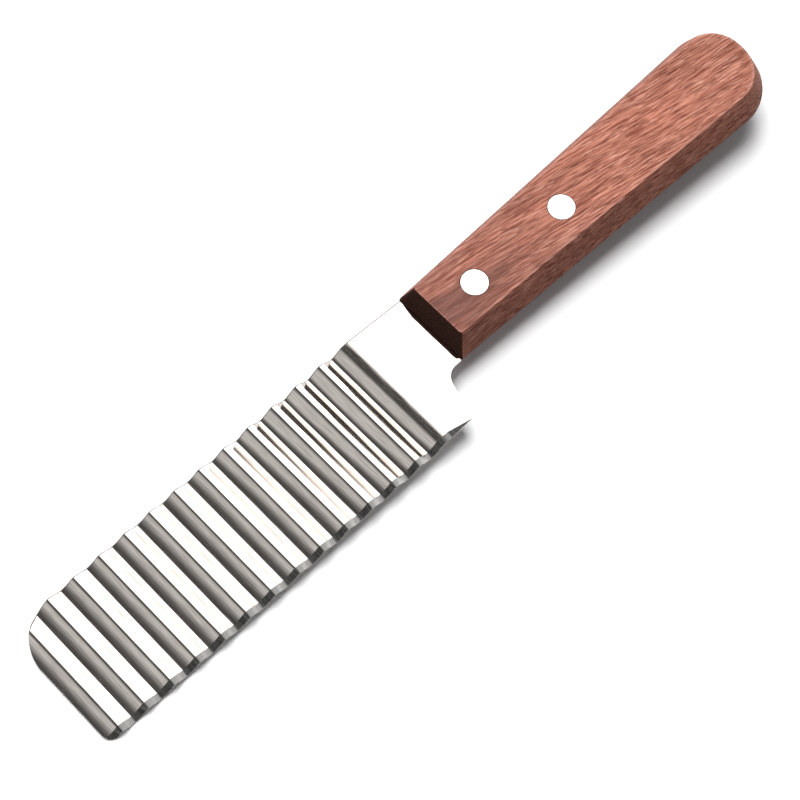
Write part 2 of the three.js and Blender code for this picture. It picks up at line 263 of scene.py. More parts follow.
blade_low, blade_high = [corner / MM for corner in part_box("blade")]
handle_low, handle_high = [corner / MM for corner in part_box("handle")]
rivets = [sum(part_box(f"{place}_rivet_post"), Vector()) / 2 / MM for place in ("front", "rear")]
tip_x, edge_y = blade_low.x, blade_low.y
spine_y, tang_end = blade_high.y, blade_high.x
sheet_z = blade_high.z - SHEET / 2
front_x = rivets[0].x - RIVET_FROM_FRONT
centre_y = rivets[0].y + RIVET_DROP
heel_x = front_x - HEEL_SETBACK
shoulder_x = front_x - SHOULDER_GAP
neck_high = spine_y - SPINE_DROP
neck_low = neck_high - NECK_WIDTH
tang_low, tang_high = rivets[0].y - TANG_WIDTH / 2, rivets[0].y + TANG_WIDTH / 2
print("tip", round(tip_x, 2), "handle front", round(front_x, 2), "edge", round(edge_y, 2))

# %% [markdown]
# The outline is two curves over X, one for the edge side and one for the spine side, with arcs where the real
# corners are round. A curve object could be filled to a plate, but its faces would be long slivers, which
# don't bend well. So the plate is a grid between the two curves. Its columns are close together, so that
# they can bend, and it has rows because the waves by the handle get shallower from the spine to the edge.


# %% Outline of the blank
def corner_rise(x, start, radius):
    """How far a round corner that starts at a square end still holds back the side, at x."""
    into = min(max(0.0, x - start), radius)
    return radius - math.sqrt(radius**2 - (radius - into) ** 2)


def edge_side(x):
    """Y of the blade's lower outline: tip corner, edge, leaning heel, rounded notch and neck."""
    if x <= heel_x:
        return edge_y + corner_rise(x, tip_x, TIP_EDGE_RADIUS)
    turn_reach = NECK_RADIUS * math.tan((math.pi / 2 - HEEL_LEAN) / 2)
    notch_x = heel_x + (neck_low - edge_y) * math.tan(HEEL_LEAN)
    arc_x = notch_x + turn_reach
    if x < notch_x - turn_reach * math.sin(HEEL_LEAN):
        return edge_y + (x - heel_x) / math.tan(HEEL_LEAN)
    if x < arc_x:
        return neck_low - NECK_RADIUS + math.sqrt(NECK_RADIUS**2 - (x - arc_x) ** 2)
    return neck_low


def spine_side(x):
    """Y of the blade's upper outline: tip corner, spine, and the slight drop to the handle."""
    flat_start = front_x - FLAT_LENGTH
    drop = SPINE_DROP * max(0.0, x - flat_start) / (shoulder_x - flat_start)
    return spine_y - corner_rise(x, tip_x, TIP_SPINE_RADIUS) - drop


def bevel_width(x):
    """The bevel's width, which runs out to nothing at the heel."""
    return BEVEL_WIDTH * min(1.0, max(0.0, (heel_x - x) / BEVEL_RUNOUT))


def steps(start, stop, longest):
    """Even steps from start to stop, both included, none longer than asked."""
    count = math.ceil((stop - start) / longest)
    return [start + (stop - start) * i / count for i in range(count + 1)]


COLUMN_STEP = 0.08
ROW_SHARE = 0.08  # the widest row, as a share of the blade's width
ARC_STEPS = 20
round_ends = [radius * (1 - math.cos(math.pi / 2 * i / ARC_STEPS))
              for radius in (TIP_EDGE_RADIUS, TIP_SPINE_RADIUS) for i in range(ARC_STEPS)]
columns = sorted({round(x, 3) for x in steps(tip_x, shoulder_x, COLUMN_STEP)}
                 | {round(tip_x + into, 3) for into in round_ends} | {round(heel_x, 3)})
tang_columns = [columns[-1], tang_end - TANG_END_RADIUS] + [
    tang_end - TANG_END_RADIUS * (1 - math.sin(math.pi / 2 * i / ARC_STEPS))
    for i in range(1, ARC_STEPS + 1)]
tang_from, tang_to = [(y - neck_low) / (NECK_WIDTH - SPINE_CHAMFER) for y in (tang_low, tang_high)]
below, beside, above = [steps(start, stop, ROW_SHARE) for start, stop in
                        ((0.0, tang_from), (tang_from, tang_to), (tang_to, 1.0))]
rows = below + beside[1:] + above[1:]
print(len(columns), "columns and", len(rows), "rows in the blade,", len(tang_columns), "columns in the tang")

# %% [markdown]
# Each column is a section through the sheet. At the edge side it starts with the bevel, and at the spine side
# it ends with the broken edge. The tang is a narrower grid. Its rows carry on from rows of the neck, so that
# the two grids share their points where they meet.


# %% Sections of the sheet
def blade_section(x):
    """One column of the blank as (y, upper, lower) heights over the sheet's middle."""
    low, high = edge_side(x), spine_side(x)
    bevel_top = max(low, edge_y + bevel_width(x))
    slope = (SHEET - EDGE_THICKNESS) / BEVEL_WIDTH
    ground = SHEET / 2 - slope * max(0.0, edge_y + bevel_width(x) - low) if x < heel_x else SHEET / 2
    inner = [bevel_top + share * (high - SPINE_CHAMFER - bevel_top) for share in rows]
    broken = SHEET / 2 - SPINE_CHAMFER
    return ([(low, ground, -SHEET / 2)] + [(y, SHEET / 2, -SHEET / 2) for y in inner]
            + [(high, broken, -broken)])


def tang_section(x):
    """One column of the tang, with its rounded end."""
    hold = TANG_END_RADIUS - math.sqrt(max(0.0, TANG_END_RADIUS**2
                                           - max(0.0, x - tang_end + TANG_END_RADIUS) ** 2))
    shares = [(row - tang_from) / (tang_to - tang_from) for row in beside]
    inner = [tang_low + hold + share * (TANG_WIDTH - 2 * hold) for share in shares]
    return [(y, SHEET / 2, -SHEET / 2) for y in inner]


print("points across: blade", len(blade_section(heel_x)), "and tang", len(tang_section(tang_end)))

# %% [markdown]
# A bmesh takes points and faces one by one, so each face gets its finish as it is made: ground on the bevel,
# sheared with painted shade along the spine and polished elsewhere. At the end, points in one place are
# merged and all faces are turned to point out.


# %% Build the flat blank
def new_piece(name, mesh_builder):
    """Turn a bmesh into an object at the origin, with merged points and faces that point out."""
    bmesh.ops.remove_doubles(mesh_builder, verts=mesh_builder.verts, dist=1e-7)
    bmesh.ops.recalc_face_normals(mesh_builder, faces=mesh_builder.faces)
    mesh = bpy.data.meshes.new(name)
    mesh_builder.to_mesh(mesh)
    mesh_builder.free()
    piece = bpy.data.objects.new(name, mesh)
    bpy.context.collection.objects.link(piece)
    return piece


def add_column(plate, x, section):
    """Add the points of one column: its upper row and its lower row."""
    return [[plate.verts.new(Vector((x, y, sheet_z + heights[side])) * MM) for y, *heights in section]
            for side in (0, 1)]


POLISHED, GROUND, SHEARED_SHADED = 0, 1, 2  # the blade's finishes, in the order of its materials


def close_columns(plate, first, second, bevel_rows, spine_finish):
    """Join two neighbouring columns above, below and along both sides."""
    last_row = len(first[0]) - 2
    for side in (0, 1):
        for row in range(last_row + 1):
            face = plate.faces.new((first[side][row], second[side][row],
                                    second[side][row + 1], first[side][row + 1]))
            if side == 0 and row < bevel_rows:
                face.material_index = GROUND
            elif row == last_row:
                face.material_index = spine_finish
    for row, finish in ((0, POLISHED), (-1, spine_finish)):
        face = plate.faces.new((first[0][row], first[1][row], second[1][row], second[0][row]))
        face.material_index = finish


def close_end(plate, column):
    """Close a column that has no neighbour."""
    for row in range(len(column[0]) - 1):
        plate.faces.new((column[0][row], column[0][row + 1], column[1][row + 1], column[1][row]))


plate = bmesh.new()
body = [add_column(plate, x, blade_section(x)) for x in columns]
tang = [add_column(plate, x, tang_section(x)) for x in tang_columns]
for first, second in zip(body, body[1:]):
    close_columns(plate, first, second, bevel_rows=1, spine_finish=SHEARED_SHADED)
for first, second in zip(tang, tang[1:]):
    close_columns(plate, first, second, bevel_rows=0, spine_finish=POLISHED)
close_end(plate, body[0])
close_end(plate, tang[-1])
shoulder = body[-1]
close_end(plate, [points[:len(below) + 1] for points in shoulder])
close_end(plate, [points[-len(above) - 1:] for points in shoulder])
blank = new_piece("corrugated_blade", plate)
print("flat blank:", len(blank.data.polygons), "faces")

# %% [markdown]
# The press then folds the plate into waves. Geometry Nodes do the folding, because the shape follows a rule:
# each wave is an arc in the valley, a straight flank and an arc on the crest, which is tight towards the tip
# and rounder on its back. The tree is made in four steps. In the first, each point learns which wave it is on
# and what that wave measures: its number, counted along the blade, gives its depth, slope and crest.

# %% Step one: the wave that a point is on
MATHS = "ShaderNodeMath"


def wave_sizes(tree, given, x, y):
    """What the wave at a point measures, with marks for the last flank and for falling flanks."""
    along = add_node(tree, MATHS, [x, given["Tip"]], operation="SUBTRACT")
    number = add_node(tree, MATHS, [along, given["Pitch"]], operation="DIVIDE")
    last = add_node(tree, MATHS, [number, given["Waves"]], operation="GREATER_THAN")
    number = add_node(tree, MATHS, [number], operation="ROUND")
    lag = add_node(tree, "ShaderNodeMapRange", [y, given["Edge"], given["Spine"], -0.5, 0.5])
    number = add_node(tree, MATHS, [lag, given["Edge Lag"], number], operation="MULTIPLY_ADD")
    half = add_node(tree, MATHS, [given["Pitch"], 2.0], operation="DIVIDE")
    phase = add_node(tree, MATHS, [along, given["Pitch"]], operation="FLOORED_MODULO")
    falling = add_node(tree, MATHS, [phase, half], operation="GREATER_THAN")
    falling = add_node(tree, MATHS, [falling, last], operation="SUBTRACT")
    falling = add_node(tree, MATHS, [falling, 0.0], operation="MAXIMUM")
    depth, angle, crest, back = [
        add_node(tree, "ShaderNodeMapRange", [number, given["Deeper From"], given["Deepest From"],
                                              given[size], given[f"Heel {size}"]])
        for size in ("Depth", "Slope", "Crest Radius", "Back Radius")]
    crest = add_node(tree, "ShaderNodeMix", [falling, None, crest, back])
    angle = add_node(tree, "ShaderNodeMix", [last, None, angle, given["Last Slope"]])
    span = add_node(tree, "ShaderNodeMix", [last, None, half, given["Last Length"]])
    return SimpleNamespace(along=along, half=half, last=last, falling=falling, depth=depth, angle=angle,
                           crest=crest, span=span)


print("sizes of a wave: depth, slope, crest and span")

# %% [markdown]
# The second step is the bends. The two bends of a flank share what its straight part leaves. The crest's
# radius is given, so the valley gets the rest. The last crest doesn't level off by itself, but droops to its
# bend from the flat, which is wider. The sum of the bends and the straight is the flank's reach.


# %% Step two: the bends of a flank
def bend_sizes(tree, given, wave):
    """The radii of the bends, how far each reaches along the blade, and how far a point has come."""
    sine, cosine, tangent = [add_node(tree, MATHS, [wave.angle], operation=function)
                             for function in ("SINE", "COSINE", "TANGENT")]
    too_high = add_node(tree, MATHS, [wave.span, tangent], operation="MULTIPLY")
    too_high = add_node(tree, MATHS, [too_high, wave.depth], operation="SUBTRACT")
    saved = add_node(tree, MATHS, [1.0, cosine], operation="DIVIDE")
    saved = add_node(tree, MATHS, [saved, 1.0], operation="SUBTRACT")
    bends = add_node(tree, MATHS, [too_high, saved], operation="DIVIDE")
    valley = add_node(tree, MATHS, [bends, wave.crest], operation="SUBTRACT")

    wide = given["Run-out Radius"]
    droop = add_node(tree, MATHS, [wave.last, given["Run-out Slope"]], operation="MULTIPLY")
    droop_sine = add_node(tree, MATHS, [droop], operation="SINE")
    droop_cosine = add_node(tree, MATHS, [droop], operation="COSINE")
    valley_full, top_full, top_cut, wide_full = [
        add_node(tree, MATHS, [radius, turned_to], operation="MULTIPLY")
        for radius, turned_to in ((valley, sine), (wave.crest, sine), (wave.crest, droop_sine),
                                  (wide, droop_sine))]

    left = wave.depth
    for radius, before, after in ((valley, 1.0, cosine), (wave.crest, droop_cosine, cosine),
                                  (wide, 1.0, droop_cosine)):
        turned_by = add_node(tree, MATHS, [after, before], operation="SUBTRACT")
        left = add_node(tree, MATHS, [radius, turned_by, left], operation="MULTIPLY_ADD")
    reach = add_node(tree, MATHS, [left, tangent], operation="DIVIDE")
    for part in (valley_full, top_full, wide_full):
        reach = add_node(tree, MATHS, [reach, part], operation="ADD")
    reach = add_node(tree, MATHS, [reach, top_cut], operation="SUBTRACT")

    length = add_node(tree, MATHS, [given["Waves"], given["Pitch"]], operation="MULTIPLY")
    past = add_node(tree, MATHS, [wave.along, length], operation="SUBTRACT")
    past = add_node(tree, MATHS, [past, reach], operation="MINIMUM")
    folded = add_node(tree, MATHS, [wave.along, wave.half], operation="PINGPONG")
    from_valley = add_node(tree, "ShaderNodeMix", [wave.last, None, folded, past])
    return SimpleNamespace(cosine=cosine, tangent=tangent, valley=valley, wide=wide, droop_sine=droop_sine,
                           droop_cosine=droop_cosine, valley_full=valley_full, top_full=top_full,
                           top_cut=top_cut, wide_full=wide_full, reach=reach, from_valley=from_valley)


print("bends of a flank: valley, crest and the wide bend of the run-out")

# %% [markdown]
# The third step gives each point its height and its lean. It is known how far a point has come in the
# valley's bend and how far it has to go in the other bends. The height over the valley is then the sum of the
# bends and of the straight between them.


# %% Step three: height and lean
def height_and_lean(tree, wave, bend):
    """A point's height over the valley, and the sine and cosine of the slope there."""
    to_go = add_node(tree, MATHS, [bend.reach, bend.from_valley], operation="SUBTRACT")
    valley_run = add_node(tree, MATHS, [bend.from_valley, bend.valley_full], operation="MINIMUM")
    wide_run = add_node(tree, MATHS, [to_go, bend.wide_full], operation="MINIMUM")
    top_run = add_node(tree, MATHS, [to_go, bend.wide_full], operation="SUBTRACT")
    top_run = add_node(tree, MATHS, [top_run, bend.top_cut], operation="ADD")
    top_run = add_node(tree, "ShaderNodeClamp", [top_run, bend.top_cut, bend.top_full])
    valley_sine, top_sine, wide_sine = [
        add_node(tree, MATHS, [run, radius], operation="DIVIDE")
        for run, radius in ((valley_run, bend.valley), (top_run, wave.crest), (wide_run, bend.wide))]
    lean = add_node(tree, MATHS, [top_sine, wide_sine], operation="ADD")
    lean = add_node(tree, MATHS, [lean, bend.droop_sine], operation="SUBTRACT")
    lean = add_node(tree, MATHS, [lean, valley_sine], operation="MINIMUM")
    cosines = []
    for part in (valley_sine, top_sine, wide_sine, lean):
        square = add_node(tree, MATHS, [part, part], operation="MULTIPLY")
        square = add_node(tree, MATHS, [1.0, square], operation="SUBTRACT")
        square = add_node(tree, MATHS, [square, 0.0], operation="MAXIMUM")
        cosines.append(add_node(tree, MATHS, [square], operation="SQRT"))
    valley_cosine, top_cosine, wide_cosine, upright = cosines

    flank = add_node(tree, MATHS, [bend.from_valley, valley_run], operation="SUBTRACT")
    for whole, run in ((bend.top_full, top_run), (bend.wide_full, wide_run)):
        spent = add_node(tree, MATHS, [whole, run], operation="SUBTRACT")
        flank = add_node(tree, MATHS, [flank, spent], operation="SUBTRACT")
    rise = add_node(tree, MATHS, [flank, bend.tangent], operation="MULTIPLY")
    for radius, high, low in ((bend.valley, 1.0, valley_cosine), (wave.crest, top_cosine, bend.cosine),
                              (bend.wide, wide_cosine, bend.droop_cosine)):
        gained = add_node(tree, MATHS, [high, low], operation="SUBTRACT")
        rise = add_node(tree, MATHS, [radius, gained, rise], operation="MULTIPLY_ADD")
    return rise, lean, upright


print("height and lean: from the bends and the straight between them")

# %% [markdown]
# The last step moves the points. A point keeps its distance from the middle of the sheet and leans with the
# slope, so the sheet keeps its thickness and the bevel follows the wave. Bevel and spine keep their own
# finish, and all other faces are polished.


# %% Step four: the press
def new_tree(name, inputs):
    """A Geometry Nodes tree with a geometry in and out and the named inputs."""
    tree = bpy.data.node_groups.new(name, "GeometryNodeTree")
    tree.interface.new_socket("Geometry", in_out="INPUT", socket_type="NodeSocketGeometry")
    for label, kind in inputs.items():
        tree.interface.new_socket(label, in_out="INPUT", socket_type=f"NodeSocket{kind}")
    tree.interface.new_socket("Geometry", in_out="OUTPUT", socket_type="NodeSocketGeometry")
    return tree


def corrugating_press(sizes, finishes):
    tree = new_tree("corrugating_press", {name: "Float" for name in sizes}
                    | {name: "Material" for name in finishes})
    given = add_node(tree, "NodeGroupInput").outputs
    place = add_node(tree, "ShaderNodeSeparateXYZ", [add_node(tree, "GeometryNodeInputPosition")])
    x, y, z = place.outputs
    over = add_node(tree, MATHS, [z, given["Sheet Level"]], operation="SUBTRACT")
    wave = wave_sizes(tree, given, x, y)
    rise, lean, upright = height_and_lean(tree, wave, bend_sizes(tree, given, wave))

    side = add_node(tree, MATHS, [wave.falling, -2.0, 1.0], operation="MULTIPLY_ADD")
    sideways = add_node(tree, MATHS, [over, lean], operation="MULTIPLY")
    sideways = add_node(tree, MATHS, [sideways, side], operation="MULTIPLY")
    new_x = add_node(tree, MATHS, [x, sideways], operation="SUBTRACT")
    level = add_node(tree, MATHS, [given["Sheet Level"], wave.depth], operation="SUBTRACT")
    level = add_node(tree, MATHS, [level, rise], operation="ADD")
    new_z = add_node(tree, MATHS, [over, upright, level], operation="MULTIPLY_ADD")
    moved = add_node(tree, "ShaderNodeCombineXYZ", [new_x, y, new_z])

    pressed = add_node(tree, "GeometryNodeSetPosition", {"Geometry": given["Geometry"], "Position": moved})
    ground, sheared = [add_node(tree, "GeometryNodeMaterialSelection", [given[finish]])
                       for finish in ("Ground", "Sheared Shaded")]
    whole = add_node(tree, "GeometryNodeRealizeInstances", [pressed])
    other = add_node(tree, "FunctionNodeBooleanMath", [ground, sheared], operation="NOR")
    painted = add_node(tree, "GeometryNodeSetMaterial", [whole, other, given["Polish"]])
    add_node(tree, "NodeGroupOutput", [painted])
    return tree


PRESS_SIZES = {
    "Sheet Level": sheet_z * MM, "Tip": tip_x * MM, "Pitch": PITCH * MM, "Waves": WAVES,
    "Edge": edge_y * MM, "Spine": spine_y * MM, "Edge Lag": EDGE_LAG,
    "Deeper From": DEEPER_FROM, "Deepest From": DEEPEST_FROM,
    "Depth": WAVE_DEPTH * MM, "Heel Depth": HEEL_DEPTH * MM,
    "Slope": WAVE_SLOPE, "Heel Slope": HEEL_SLOPE,
    "Crest Radius": CREST_RADIUS * MM, "Heel Crest Radius": HEEL_CREST_RADIUS * MM,
    "Back Radius": BACK_RADIUS * MM, "Heel Back Radius": HEEL_BACK_RADIUS * MM,
    "Last Length": LAST_LENGTH * MM, "Last Slope": LAST_SLOPE,
    "Run-out Radius": RUNOUT_RADIUS * MM, "Run-out Slope": RUNOUT_SLOPE,
}
PRESS_FINISHES = {"Polish": BLADE_POLISH, "Ground": BLADE_GROUND, "Sheared Shaded": BLADE_SHEARED_SHADED}
press = corrugating_press(PRESS_SIZES, PRESS_FINISHES)
print("press:", len(press.nodes), "nodes")

# %% [markdown]
# A tree works through a modifier. Each input is set by its identifier, and the shape that comes out is kept
# as a plain mesh, because the knife is handed on without modifiers.


# %% Press the blank
def keep_result(piece):
    """Replace a piece's mesh by its evaluated one, and remove its modifiers."""
    bpy.context.view_layer.update()
    depsgraph = bpy.context.evaluated_depsgraph_get()
    made = bpy.data.meshes.new_from_object(piece.evaluated_get(depsgraph))
    piece.modifiers.clear()
    piece.data = made


def run_tree(piece, tree, values):
    """Give a tree its inputs on a modifier, and keep the shape that it makes as a plain mesh."""
    modifier = piece.modifiers.new(tree.name, "NODES")
    modifier.node_group = tree
    for item in tree.interface.items_tree:
        if item.name in values:
            modifier[item.identifier] = values[item.name]
    keep_result(piece)


for finish in PRESS_FINISHES.values():
    blank.data.materials.append(finish)
run_tree(blank, press, PRESS_SIZES | PRESS_FINISHES)
print("pressed blade:", len(blank.data.polygons), "faces")

# %% [markdown]
# Round pieces and the handle are lofts: rings of points with faces between neighbouring rings. A turned
# piece has circles for rings, and the handle has its rounded plan, drawn in towards the two flat faces.


# %% Lofts and turned shapes
def rounded(corners, arc_steps):
    """Points of a closed outline of (x, y, radius) corners, each rounded by an arc."""
    points = []
    for i, (x, y, radius) in enumerate(corners):
        here = Vector((x, y))
        before = (Vector(corners[i - 1][:2]) - here).normalized()
        after = (Vector(corners[(i + 1) % len(corners)][:2]) - here).normalized()
        half = before.angle(after) / 2
        middle = here + (before + after).normalized() * radius / math.sin(half)
        start = here + before * radius / math.tan(half) - middle
        turning = math.copysign(math.pi - 2 * half, after.cross(before))
        first = math.atan2(start.y, start.x)
        for k in range(arc_steps + 1):
            angle = first + turning * k / arc_steps
            points.append(middle + radius * Vector((math.cos(angle), math.sin(angle))))
    return points


def loft(builder, rings):
    """Add a closed shape through rings of points in mm, flat at both ends."""
    loops = [[builder.verts.new(Vector(point) * MM) for point in ring] for ring in rings]
    for low, high in zip(loops, loops[1:]):
        for i in range(len(low)):
            j = (i + 1) % len(low)
            builder.faces.new((low[i], low[j], high[j], high[i]))
    builder.faces.new(reversed(loops[0]))
    builder.faces.new(loops[-1])


TURN_STEPS = 72


def turned(builder, profile, at=(0.0, 0.0)):
    """Add a turned shape from (radius, height) pairs in mm, closed by flat ends."""
    angles = [2 * math.pi * k / TURN_STEPS for k in range(TURN_STEPS)]
    loft(builder, [[(at[0] + radius * math.cos(a), at[1] + radius * math.sin(a), height)
                    for a in angles] for radius, height in profile])


print("points round a turned shape:", TURN_STEPS)

# %% [markdown]
# The tang gets its two rivet holes last, as if drilled: a Boolean takes round bars away from it. Then the
# blade is shaded smooth, except at edges that turn sharply, such as those of the bevel.


# %% Cut the holes in the tang
def cut(piece, cutter):
    """Cut one piece by another, which is then removed."""
    modifier = piece.modifiers.new("cut", "BOOLEAN")
    modifier.object = cutter
    modifier.operation = "DIFFERENCE"
    modifier.solver = "EXACT"
    keep_result(piece)
    bpy.data.objects.remove(cutter)


def smooth(piece, sharpest):
    """Shade a piece smooth, except at edges that turn by more than an angle in degrees."""
    piece.data.polygons.foreach_set("use_smooth", [True] * len(piece.data.polygons))
    piece.data.set_sharp_from_angle(angle=math.radians(sharpest))


TUBE_DIAMETER = 4.8
RIVET_CLEARANCE = 0.2
hole_radius = TUBE_DIAMETER / 2 + RIVET_CLEARANCE
holes = bmesh.new()
for rivet in rivets:
    turned(holes, [(hole_radius, sheet_z - SHEET), (hole_radius, sheet_z + SHEET)], rivet.xy)
cut(blank, new_piece("tang_holes", holes))
smooth(blank, sharpest=22)
print("blade:", len(blank.data.polygons), "faces")

# %% [markdown]
# The handle is a reddish hardwood, planed, sanded and oiled. Its colour lies in long streaks along the grain.
# Between them are short dark pores, which catch no light, and paler flecks. A picture of wood could be
# wrapped round the handle, but noise in space runs through the block as grain does, also round its corners.
# It is stretched along the handle, and a slow noise bends it a little, as a tree does.

# %% Figures in the grain
GRAIN_BEND = (40.0, 1.4)  # mm from one bend to the next, and how far it goes
GRAIN_TILT = math.radians(9)  # the grain runs a little across the handle
# Figures in the grain: mm long, mm across, detail, offset in the noise, and where in its range they show
STREAK = (9.0, 0.55, 4.0, 0.0, 0.34, 0.66)
PATCH = (38.0, 7.0, 2.0, 5.0, 0.3, 0.7)
PORE = (4.0, 0.32, 1.0, 9.0, 0.56, 0.68)
FLECK = (6.0, 0.5, 2.0, 13.0, 0.54, 0.7)
FIGURE_ROUGHNESS = 0.6  # how much the finer parts of the noise count


def grain_figures(tree, place):
    """Masks of the streaks, patches, pores and flecks at a place in the wood."""
    bend_size, bend_reach = GRAIN_BEND
    bend = add_node(tree, "ShaderNodeTexNoise",
                    {"Vector": place, "Scale": 1 / (bend_size * MM), "Detail": 1.0})
    bend = add_node(tree, "ShaderNodeVectorMath", [bend.outputs["Color"], (0.5, 0.5, 0.5)],
                    operation="SUBTRACT")
    reach = (0.0, 2 * bend_reach * MM, 2 * bend_reach * MM)
    grain = add_node(tree, "ShaderNodeVectorMath", [bend, reach, place], operation="MULTIPLY_ADD")
    grain = add_node(tree, "ShaderNodeMapping", {"Vector": grain, "Rotation": (0.0, 0.0, GRAIN_TILT)})
    masks = []
    for length, width, detail, offset, low, high in (STREAK, PATCH, PORE, FLECK):
        stretch = (1 / (length * MM), 1 / (width * MM), 1 / (width * MM))
        fit = add_node(tree, "ShaderNodeVectorMath", [grain, stretch, (offset, offset, offset)],
                       operation="MULTIPLY_ADD")
        figure = add_node(tree, "ShaderNodeTexNoise",
                          {"Vector": fit, "Scale": 1.0, "Detail": detail, "Roughness": FIGURE_ROUGHNESS})
        masks.append(add_node(tree, "ShaderNodeMapRange", [figure, low, high, 0.0, 1.0]))
    return masks


print("mm long and across: streaks", STREAK[:2], "patches", PATCH[:2], "pores", PORE[:2])

# %% [markdown]
# The tints of the wood lie over each other: streaks, flecks and pores first. The arrises are paler, which is
# sanding wear and a painted highlight, and the flat faces are darker and greyer towards the blade.

# %% Oiled hardwood
WOOD_DARK, WOOD_MID, WOOD_LIGHT = 0x80483A, 0xCB8873, 0xEDB39F
# The paler arris colour is sanding wear and a painted highlight
WOOD_PORE, WOOD_WEAR_AND_HIGHLIGHT, WOOD_GREY = 0x5C322A, 0xE0A595, 0x70504B
FLECK_SHARE, PORE_SHARE, WEAR_AND_HIGHLIGHT_SHARE = 0.6, 0.7, 0.6  # the most that each tints the wood
PATCH_SHADE = (0.84, 1.13)  # brightness from patch to patch
FRONT_DARKENS = 60.0  # mm of handle that the darker front takes
LEAST_GREY = 0.3  # share of the grey that the front has everywhere
TOP_FACING = (0.5, 0.8)  # how far up a face looks, from where it starts to count as top to where it does
WOOD_GLOSS, WOOD_ROUGHNESS = 0.04, (0.5, 0.7)  # the oil has soaked in
PORE_DEPTH = 0.03  # mm


def oiled_wood():
    material, tree, shader = new_material("red_hardwood_sanded_oiled")
    shader.inputs["Specular IOR Level"].default_value = WOOD_GLOSS
    place = add_node(tree, "ShaderNodeTexCoord").outputs["Object"]
    streak, patch, pore, fleck = grain_figures(tree, place)

    # Points on an arris are paler: sanding wear, and on the upper side a painted highlight
    facing = add_node(tree, "ShaderNodeNewGeometry").outputs["Normal"]
    upward = add_node(tree, "ShaderNodeSeparateXYZ", [facing])
    upward = add_node(tree, MATHS, [upward.outputs["Z"]], operation="ABSOLUTE")
    on_top = add_node(tree, "ShaderNodeMapRange", [upward, *TOP_FACING, 0.0, 1.0])
    wear_and_highlight = add_node(tree, "ShaderNodeAttribute", attribute_name="arris_wear_and_highlight").outputs["Fac"]
    wear_and_highlight = add_node(tree, MATHS, [wear_and_highlight, on_top], operation="MULTIPLY")
    wear_and_highlight = add_node(tree, MATHS, [wear_and_highlight, streak], operation="MULTIPLY")

    # The flat faces of the handle are darker and greyer towards the blade
    along = add_node(tree, "ShaderNodeSeparateXYZ", [place]).outputs["X"]
    front = add_node(tree, "ShaderNodeMapRange",
                     [along, front_x * MM, (front_x + FRONT_DARKENS) * MM, 1.0, 0.0])
    grey = add_node(tree, "ShaderNodeMapRange", [patch, 0.0, 1.0, 1.0, LEAST_GREY])
    grey = add_node(tree, MATHS, [grey, front], operation="MULTIPLY")
    grey = add_node(tree, MATHS, [grey, on_top], operation="MULTIPLY")

    # Each tint lies over the ones before it; the arris tint is sanding wear and a painted highlight
    colour = linear(WOOD_DARK)
    for mask, most, tint in ((streak, 1.0, WOOD_MID), (fleck, FLECK_SHARE, WOOD_LIGHT),
                             (pore, PORE_SHARE, WOOD_PORE), (grey, 1.0, WOOD_GREY),
                             (wear_and_highlight, WEAR_AND_HIGHLIGHT_SHARE, WOOD_WEAR_AND_HIGHLIGHT)):
        share = add_node(tree, MATHS, [mask, most], operation="MULTIPLY")
        colour = add_node(tree, "ShaderNodeMix", {0: share, 6: colour, 7: linear(tint)},
                          data_type="RGBA").outputs[2]
    shade = add_node(tree, "ShaderNodeMapRange", [patch, 0.0, 1.0, *PATCH_SHADE])
    shaded = add_node(tree, "ShaderNodeVectorMath", {0: colour, "Scale": shade}, operation="SCALE")
    tree.links.new(shaded.outputs[0], shader.inputs["Base Color"])

    rough = add_node(tree, "ShaderNodeMapRange", [pore, 0.0, 1.0, *WOOD_ROUGHNESS])
    tree.links.new(rough.outputs[0], shader.inputs["Roughness"])
    hollow = add_node(tree, MATHS, [pore, -1.0, streak], operation="MULTIPLY_ADD")
    relief = add_node(tree, "ShaderNodeBump", {"Height": hollow, "Distance": PORE_DEPTH * MM})
    tree.links.new(relief.outputs[0], shader.inputs["Normal"])
    return material


HANDLE_WOOD = oiled_wood()
print("material:", HANDLE_WOOD.name)

# %% [markdown]
# Where the handle was sawn across, the grain ends. End grain drinks the oil and goes almost black, and the
# cut pores show as fine dots instead of streaks.

# %% End grain
END_DARK, END_LIGHT = 0x35221A, 0x4F352E
END_PORE = 0.35  # mm between pores
END_ROUGHNESS, END_GLOSS = 0.8, 0.05


def end_grain():
    material, tree, shader = new_material("red_hardwood_end_grain")
    place = add_node(tree, "ShaderNodeTexCoord").outputs["Object"]
    dots = streaks(tree, place, (END_PORE, END_PORE, END_PORE), detail=2.0)
    mask = add_node(tree, "ShaderNodeMapRange", [dots, *MID_NOISE, 0.0, 1.0])
    colour = add_node(tree, "ShaderNodeMix", {0: mask, 6: linear(END_DARK), 7: linear(END_LIGHT)},
                      data_type="RGBA")
    relief = add_node(tree, "ShaderNodeBump", {"Height": mask, "Distance": PORE_DEPTH * MM})
    tree.links.new(colour.outputs[2], shader.inputs["Base Color"])
    tree.links.new(relief.outputs[0], shader.inputs["Normal"])
    shader.inputs["Roughness"].default_value = END_ROUGHNESS
    shader.inputs["Specular IOR Level"].default_value = END_GLOSS
    return material


HANDLE_END = end_grain()
print("material:", HANDLE_END.name)

# %% [markdown]
# The handle is one block. A ridge runs round it at half height, and its walls lean in from there to two flat
# faces. It widens towards a round butt. A slot takes the tang, and each rivet has a stepped hole that lets
# its heads sit flush.

